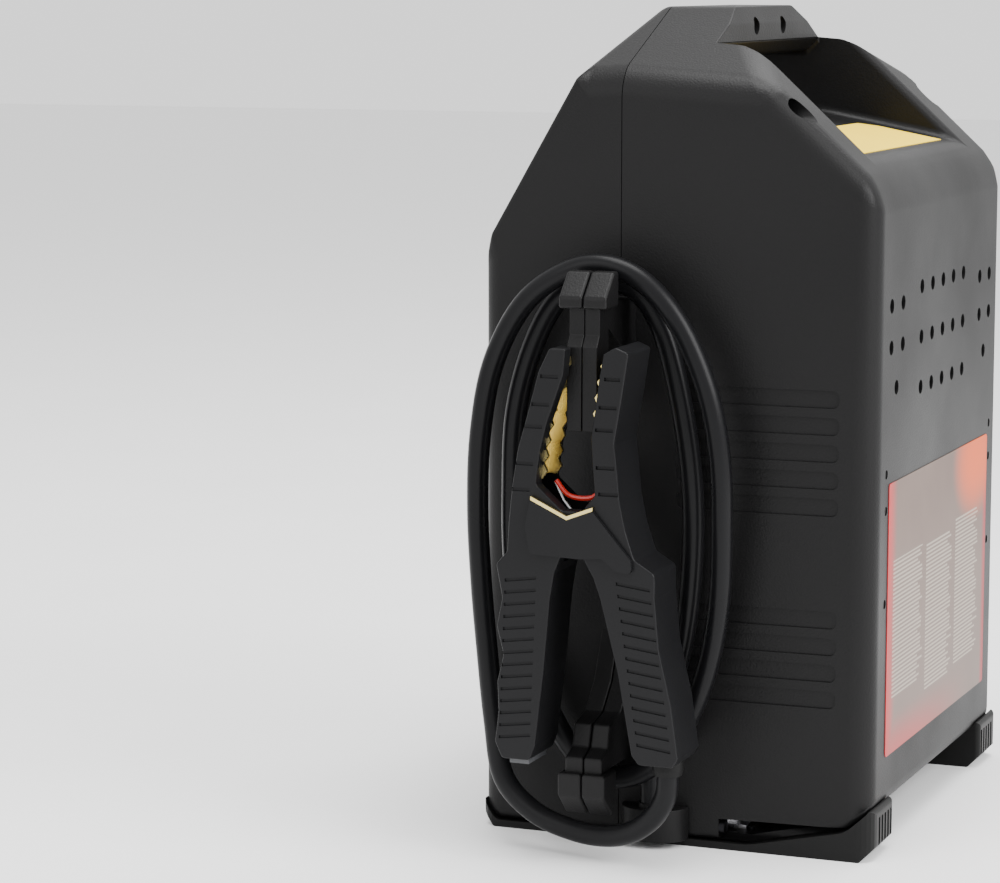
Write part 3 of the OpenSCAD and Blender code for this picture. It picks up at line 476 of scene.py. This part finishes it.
cut(hollow, prismObject("pocketWall", panelBox(3.5), "y", -faceY + 4, panel["backY"] + 6))
cut(caseSolid, hollow)

# two halves with a fine gap at the seam
rearShell = caseSolid
frontShell = rearShell.copy()
frontShell.data = rearShell.data.copy()
bpy.context.collection.objects.link(frontShell)
for shell, y0, y1 in ((frontShell, -300, seamY - case["seamGap"] / 2),
                      (rearShell, seamY + case["seamGap"] / 2, 300)):
    half = prismObject("half", rectangle(-300, -10, 300, 600), "y", y0, y1)
    cut(shell, half, "INTERSECT")
frontShell.name = "case_front"
rearShell.name = "case_rear"

# holes, sunk strips and screw seats, all taken out in one go
vents = {"radius": 4.0, "z": 277, "stepX": 23, "stepZ": 28, "sideX": 96.5, "sideStepZ": 22.5}
seats = {"trimX": 114, "trimZ": (138, 189, 209), "trimRadius": 2.5, "trimDepth": 2.2,
         "grip": (25, 447, 5.0), "shoulder": (127, 404, 6.5), "low": (135, 11.5, 6.5)}
ventHoles = [(c * vents["stepX"], vents["z"] + r * vents["stepZ"])
             for c in range(-2, 3) for r in (-1, 0, 1)]
for s in (-1, 1):
    ventHoles += [(s * (vents["sideX"] + c * vents["stepX"]), vents["z"] + r * vents["sideStepZ"])
                  for c, r in ((-0.5, 0), (-0.5, 1), (0.5, 0), (0.5, 1), (0, -1))]
tools = bmesh.new()
for x, z in ventHoles:
    addPrism(tools, circle(x, z, vents["radius"]), "y", faceY - 12, faceY + 5)
for s in (-1, 1):
    for z in seats["trimZ"]:
        addPrism(tools, circle(s * seats["trimX"], z, seats["trimRadius"]), "y",
                 faceY - seats["trimDepth"], faceY + 5)
    for name, y0, y1 in (("grip", -10, 40), ("shoulder", 10, 140), ("low", 28, 140)):
        x, z, r = seats[name]
        addPrism(tools, circle(s * x, z, r), "y", y0, y1)
cut(rearShell, meshObject("holes", tools))


strip = {"height": 9.5, "step": 14.6, "depth": 1.1, "y0": 2, "y1": 93, "upperZ": 188, "lowerZ": 83}


def stripTool(side, z):
    # a shallow strip with round ends, equally deep all along the drafted wall
    bm = bmesh.new()
    box = rectangle(strip["y0"], z, strip["y1"], z + strip["height"])
    addPrism(bm, softOutline(box, [strip["height"] * 0.4] * 4), "x", 0, 1)
    for v in bm.verts:
        y = v.co.y / mm
        wallX = endX - case["endDraft"] * abs(y - seamY)
        v.co.x = side * (wallX + (6 if v.co.x > 0.5 * mm else -strip["depth"])) * mm
    return bm


strips = bmesh.new()
stripZ = [strip["upperZ"] + strip["step"] * i for i in range(5)]
stripZ += [strip["lowerZ"] + strip["step"] * i for i in range(4)]
for side in (-1, 1):
    for z in stripZ:
        one = stripTool(side, z)
        temp = bpy.data.meshes.new("temp")
        one.to_mesh(temp)
        one.free()
        strips.from_mesh(temp)
        bpy.data.meshes.remove(temp)
cut(rearShell, meshObject("strips", strips))
print("holes and strips cut")

# control panel pocket
rim = prismObject("rim", softOutline(panelBox(8), [6] * 4), "y", -faceY - 2.5, -faceY + 2)
bevel(rim, 1.2, 3, 50)
cut(frontShell, rim, "UNION")
cut(frontShell, prismObject("pocket", softOutline(panelBox(0), [2] * 4), "y", -faceY - 9,
                            panel["backY"] + 3))
cut(frontShell, prismObject("ledge", panelBox(-7), "y", panel["backY"], panel["backY"] + 20))
hoodSize = {"wallX": 139.6, "outX": 156, "reach": 19, "height": 18, "corner": 16, "well": 7.05}
hoods = bmesh.new()
for end in (-1, 1):
    low, high = cable["glandY"] - hoodSize["reach"], cable["glandY"] + hoodSize["reach"]
    wallX, outX, corner = end * hoodSize["wallX"], end * hoodSize["outX"], hoodSize["corner"]
    outline = softOutline([(wallX, low), (outX, low), (outX, high), (wallX, high)],
                          [0, corner, corner, 0])
    hood = prismObject("hood", outline, "z", bottomZ, bottomZ + hoodSize["height"])
    bevel(hood, 2.5, 3, 50)
    well = circle(end * glandX, cable["glandY"], hoodSize["well"])
    cut(hood, prismObject("well", well, "z", 7, 40))
    hoods.from_mesh(hood.data)
    bpy.data.objects.remove(hood)
finishPiece(meshObject("cable_hoods", hoods), casePlastic, "case", replaced=("gland_hoods",))
finishPiece(frontShell, casePlastic, "case", replaced=("front_shell",))
finishPiece(rearShell, casePlastic, "case", replaced=("rear_shell",))
print("case halves made", len(rearShell.data.polygons), len(frontShell.data.polygons))


# labels
card = {"width": 218.0, "height": 151.0, "bottomZ": 52.0, "corner": 2.5, "thickness": 0.43,
        "rows": 66.0, "columns": ((0.05, 0.34, 0.2, 0.71), (0.37, 0.64, 0.14, 0.7),
                                  (0.67, 0.92, 0.16, 0.73))}


def cardMaterial():
    # grey card with a warm edge and plain ruled lines
    mat = bpy.data.materials.new("cardPrint")
    mat.use_nodes = True
    nodes, links = mat.node_tree.nodes, mat.node_tree.links
    shader = nodes["Principled BSDF"]
    shader.inputs["Roughness"].default_value = 0.36
    shader.inputs["Specular IOR Level"].default_value = 0.05
    coords = nodes.new("ShaderNodeTexCoord")
    split = nodes.new("ShaderNodeSeparateXYZ")
    links.new(coords.outputs["Object"], split.inputs[0])
    # u runs from the +X edge to the -X edge, v from the bottom up, both 0 to 1
    u = linkMath(nodes, links, "MULTIPLY_ADD", split.outputs["X"], -1 / (card["width"] * mm))
    u.node.inputs[2].default_value = 0.5
    v = linkMath(nodes, links, "MULTIPLY_ADD", split.outputs["Z"], 1 / (card["height"] * mm))
    v.node.inputs[2].default_value = -card["bottomZ"] / card["height"]
    noise = nodes.new("ShaderNodeTexNoise")
    noise.inputs["Scale"].default_value = 18
    links.new(coords.outputs["Object"], noise.inputs["Vector"])

    def fall(value, start, end):
        node = nodes.new("ShaderNodeMapRange")
        node.interpolation_type = "SMOOTHSTEP"
        node.inputs["From Min"].default_value = start
        node.inputs["From Max"].default_value = end
        node.inputs["To Min"].default_value = 1.0
        node.inputs["To Max"].default_value = 0.0
        links.new(value, node.inputs["Value"])
        return node.outputs[0]

    def mix(a, b, factor):
        node = nodes.new("ShaderNodeMix")
        node.data_type = "RGBA"
        for socket, value in (("A", a), ("B", b)):
            if isinstance(value, tuple):
                node.inputs[socket].default_value = (*value, 1)
            else:
                links.new(value, node.inputs[socket])
        links.new(factor, node.inputs["Factor"])
        return node.outputs["Result"]

    base = mix((0.1, 0.064, 0.052), (0.165, 0.122, 0.1), noise.outputs["Fac"])
    down = fall(v, 0.0, 1.0)
    base = mix(base, (0.18, 0.137, 0.12), linkMath(nodes, links, "MULTIPLY", down, 0.6))
    left = fall(u, 0.0, 0.09)
    low = fall(v, -0.02, 0.16)
    lowLeft = linkMath(nodes, links, "MULTIPLY", low, fall(u, 0.1, 0.9))
    warm = linkMath(nodes, links, "MAXIMUM", linkMath(nodes, links, "MULTIPLY", left, 0.75),
                    linkMath(nodes, links, "MULTIPLY", lowLeft, 0.55))
    base = mix(base, (0.5, 0.012, 0.02), warm)
    right = linkMath(nodes, links, "SUBTRACT", 1.0, fall(u, 0.955, 0.99))
    base = mix(base, (0.32, 0.02, 0.03), linkMath(nodes, links, "MULTIPLY", right, 0.8))
    dx = linkMath(nodes, links, "SUBTRACT", u, 0.88)
    dz = linkMath(nodes, links, "SUBTRACT", v, 0.93)
    d2 = linkMath(nodes, links, "ADD", linkMath(nodes, links, "MULTIPLY", dx, dx),
                  linkMath(nodes, links, "MULTIPLY", dz, dz))
    base = mix(base, (0.62, 0.09, 0.01), fall(d2, -0.01, 0.07))
    # ruled lines in three blocks
    height = linkMath(nodes, links, "MULTIPLY", v, card["rows"])
    wave = linkMath(nodes, links, "FRACT", height)
    line = linkMath(nodes, links, "GREATER_THAN", wave, 0.52)
    row = linkMath(nodes, links, "FLOOR", height)
    uneven = nodes.new("ShaderNodeTexWhiteNoise")
    uneven.noise_dimensions = "1D"
    links.new(row, uneven.inputs["W"])
    total = None
    for u0, u1, v0, v1 in card["columns"]:
        cutEnd = linkMath(nodes, links, "MULTIPLY_ADD", uneven.outputs["Value"], -0.06)
        cutEnd.node.inputs[2].default_value = u1
        parts = [linkMath(nodes, links, "GREATER_THAN", u, u0),
                 linkMath(nodes, links, "LESS_THAN", u, cutEnd),
                 linkMath(nodes, links, "GREATER_THAN", v, v0),
                 linkMath(nodes, links, "LESS_THAN", v, v1), line]
        block = parts[0]
        for part in parts[1:]:
            block = linkMath(nodes, links, "MULTIPLY", block, part)
        total = block if total is None else linkMath(nodes, links, "MAXIMUM", total, block)
    base = mix(base, (0.45, 0.41, 0.34), linkMath(nodes, links, "MULTIPLY", total, 0.55))
    links.new(base, shader.inputs["Base Color"])
    return mat


cardBox = rectangle(-card["width"] / 2, card["bottomZ"], card["width"] / 2,
                    card["bottomZ"] + card["height"])
cardPiece = prismObject("instruction_card", softOutline(cardBox, [card["corner"]] * 4), "y",
                        faceY + 0.02, faceY + 0.02 + card["thickness"])
finishPiece(cardPiece, cardMaterial(), "case", replaced=("instruction_label",))


sticker = {"halfWidth": 85, "frontY": 40, "rearY": 88, "chamfer": 10, "lift": 0.05,
           "thickness": 0.4}


def stickerMesh():
    bm = bmesh.new()
    x1, y0, y1, c = (sticker[key] for key in ("halfWidth", "frontY", "rearY", "chamfer"))
    outline = [(-x1, y0 + c), (c - x1, y0), (x1 - c, y0), (x1, y0 + c), (x1, y1), (-x1, y1)]
    bottom = sticker["lift"]
    top = bottom + sticker["thickness"]
    low = [bm.verts.new(Vector((x, y, shelfAt(y) + bottom)) * mm) for x, y in outline]
    high = [bm.verts.new(Vector((x, y, shelfAt(y) + top)) * mm) for x, y in outline]
    bm.faces.new(low)
    bm.faces.new(high)
    for i in range(len(outline)):
        j = (i + 1) % len(outline)
        bm.faces.new((low[i], low[j], high[j], high[i]))
    return bm


stickerPiece = meshObject("recess_sticker", stickerMesh())
finishPiece(stickerPiece, yellowGloss, "case", replaced=("recess_label",))
print("labels made")


# clamp arms
clamp = {"x0": 176.0, "x1": 212.0, "slotX0": 179.0, "slotX1": 203.0, "pivotZ": 184.0, "lug": 11.0,
         "rows": 14, "rowZ": 70, "rowStep": 6.6, "rowHeight": 1.8, "wall": 5}
clampX0, clampX1, pivotZ, lugR = (clamp[key] for key in ("x0", "x1", "pivotZ", "lug"))
slotX0, slotX1 = clamp["slotX0"], clamp["slotX1"]
# each arm from the side, as its distance from the seam and its height
fixedOutline = [(16.4, 279), (14, 266), (11.7, 248), (9.6, 235), (10.6, 219), (11.9, 204),
                (6, 197), (4, 172), (11, 160), (15, 149), (25, 110), (33, 66), (37, 61),
                (56, 61), (59, 66), (55, 94), (48, 124), (45.5, 151), (45.5, 164), (34, 171),
                (29, 186), (25.7, 201), (23.9, 220), (22.5, 232), (26.6, 256), (30.3, 280),
                (23, 283)]
fixedRadii = [1, 10, 10, 8, 8, 3, 3, 3, 5, 20, 60, 3, 3, 2, 2, 10, 20, 6, 4, 6, 20, 20, 20, 12,
              20, 2, 3]
movingOutline = [(-5, 281), (-6.2, 267), (-15.4, 241), (-19.2, 226), (-21.6, 208), (-7, 195),
                 (lugR, pivotZ + lugR), (lugR, pivotZ - lugR), (-6, 173), (-11, 161),
                 (-13.4, 147), (-17, 107), (-22, 66), (-25, 58), (-41, 58), (-45, 67),
                 (-42.9, 84), (-43.6, 100), (-40.1, 115), (-43.9, 130), (-40.8, 146),
                 (-44.3, 164), (-38, 171), (-37, 188), (-35, 207), (-32, 226), (-26, 247),
                 (-20, 269), (-14, 281)]
movingRadii = [1, 8, 12, 20, 3, 3, 10, 10, 3, 5, 8, 60, 3, 3, 3, 5, 8, 8, 8, 8, 8, 3, 4, 14, 30,
               30, 20, 20, 2]


def shifted(outline, dy):
    return [(y + dy, z) for y, z in outline]


def grooveTools(side, middle, lean, frontX, halfWidth):
    # bars across the outer face of a handle
    bm = bmesh.new()
    h = clamp["rowHeight"]
    slant = side * -1.2
    for i in range(clamp["rows"]):
        z = clamp["rowZ"] + i * clamp["rowStep"]
        mid = seamY + side * (middle - (z - 60) * lean)
        low, high = mid - halfWidth, mid + halfWidth
        outline = [(low, z - slant), (high, z + slant), (high, z + h + slant), (low, z + h - slant)]
        addPrism(bm, outline, "x", frontX - 1.0, frontX + 4)
    return meshObject("grooves", bm)


def clampArm(name, outline, radii, side, x0, x1):
    shape = softOutline(outline, radii, 8)
    arm = prismObject(name, shifted(shape, seamY), "x", x0, x1)
    bevel(arm, 2.4, 3, 50)
    slot = prismObject("slot", shifted(shape, seamY - side * clamp["wall"]), "x", slotX0, slotX1)
    cut(slot, prismObject("above", rectangle(-100, 166, 60, 320), "x", 100, 250), "INTERSECT")
    cut(arm, slot)
    return arm


fixedArm = clampArm("clamp_arm_fixed", fixedOutline, fixedRadii, 1, clampX0, clampX1)
for x0, x1 in ((clampX0 - 1, slotX0 - 0.02), (slotX1 + 0.02, clampX1 + 5)):
    cut(fixedArm, prismObject("room", circle(seamY, pivotZ, lugR + 1, 40), "x", x0, x1))
cut(fixedArm, prismObject("cableHole", circle(collarX, collarY, 7.02, 32), "z", 40, 76))
movingArm = clampArm("clamp_arm_moving", movingOutline, movingRadii, -1, clampX0 + 0.4,
                     clampX1 - 0.4)
cut(movingArm, prismObject("bore", circle(seamY, pivotZ, 4.05, 32), "x", 170, 220))
cut(fixedArm, grooveTools(1, 47.0, 0.14, clampX1, 9.5))
cut(movingArm, grooveTools(-1, 34.0, 0.04, clampX1 - 0.4, 9))
jawGrooves = {"fixed": ((265, 17, 26), (250, 14, 24), (238, 12, 22), (218, 12.5, 23), (204, 14, 25)),
              "moving": ((265, -19, -9), (250, -24, -14), (238, -29, -18), (218, -33, -23),
                         (204, -35, -25))}
for arm, key in ((fixedArm, "fixed"), (movingArm, "moving")):
    grooves = bmesh.new()
    for z, y0, y1 in jawGrooves[key]:
        addPrism(grooves, rectangle(seamY + y0, z, seamY + y1, z + 2), "x", clampX1 - 1.4,
                 clampX1 + 3)
    cut(arm, meshObject("jawGrooves", grooves))
finishPiece(fixedArm, clampPlastic, "case", replaced=("clamp_fixed_arm",))
finishPiece(movingArm, clampPlastic, "clamp_lever", replaced=("clamp_moving_arm",))
print("clamp arms made")


# finishes of the parts that keep their CAD shape
finishes = {
    "foot_near": footRubber, "foot_far": footRubber, "foot_screws": blackSteel,
    "shell_screws": blackSteel, "trim_screws": darkRubber, "cable_gland": darkRubber,
    "spare_gland": darkRubber, "clamp_fixed_jaw": brassSheet, "clamp_moving_jaw": brassSheet,
    "clamp_pivot_pin": steelMetal, "clamp_spring": steelMetal, "clamp_cover": clampPlastic,
    "clamp_bond_strip": brassSheet, "clamp_bond_wire": redPlastic, "clamp_collar": darkRubber,
    "clamp_end_cap": panelPlastic, "panel_plate": panelPlastic, "panel_screws": steelMetal,
    "meter_body": glossBlack, "meter_lens": meterGlass, "level_lamps": greenLens,
    "charge_inlet": glossBlack, "switch_body": glossBlack, "switch_shaft": steelMetal,
    "switch_knob": redPlastic, "test_bezel": chromeMetal, "test_button": amberPlastic,
    "reset_bezel": glossBlack, "reset_button": palePlastic, "socket_barrels": glossBlack,
    "socket_contacts": brassSheet, "cap_brackets": glossBlack, "cap_pins": steelMetal,
    "socket_cap_left": darkRubber, "socket_cap_right": darkRubber,
    "control_board": boardGreen, "board_spacers": brassSheet, "battery_case": batteryPlastic,
    "battery_lid": greyPlastic, "battery_posts": steelMetal, "battery_pads": darkRubber,
    "hold_down_strap": steelMetal, "strap_bolts": steelMetal, "lead_lugs": brassSheet,
    "negative_lead": darkRubber, "positive_lead": redPlastic, "fuse_carrier": glossBlack,
    "main_fuse": amberPlastic}
for node, material in finishes.items():
    obj = bpy.data.objects[node]
    obj.data.materials.clear()
    obj.data.materials.append(material)
print("finishes set")

# floor and light
floor = prismObject("floor", rectangle(-9000, -9000, 9000, 9000), "z", -5, 0)
floorPaint = surface("floorPaint", (0.88, 0.88, 0.88), (0.9, 0.9, 0.9), 0.7, grain=200,
                     bump=0.01)
floor.data.materials.append(floorPaint)
world = bpy.data.worlds.new("studio")
bpy.context.scene.world = world
world.use_nodes = True
world.node_tree.nodes["Background"].inputs["Color"].default_value = (1, 1, 1, 1)
world.node_tree.nodes["Background"].inputs["Strength"].default_value = 1.4


def softbox(name, spot, aim, size, power):
    light = bpy.data.lights.new(name, "AREA")
    light.shape = "RECTANGLE"
    light.size, light.size_y = size
    light.energy = power
    obj = bpy.data.objects.new(name, light)
    obj.location = spot
    obj.rotation_euler = (Vector(aim) - Vector(spot)).to_track_quat("-Z", "Y").to_euler()
    bpy.context.collection.objects.link(obj)


softbox("key", (0.6, 2.2, 1.5), (0, 0, 0.25), (1.6, 1.6), 88)
softbox("front", (2.0, -0.9, 1.3), (0, 0, 0.25), (1.2, 1.2), 10)
softbox("top", (0.2, 0.1, 2.4), (0, 0, 0.2), (1.4, 1.4), 60)
softbox("back", (-1.5, 0.4, 2.4), (0, 0, 0.35), (1.4, 1.4), 25)
print("light set")
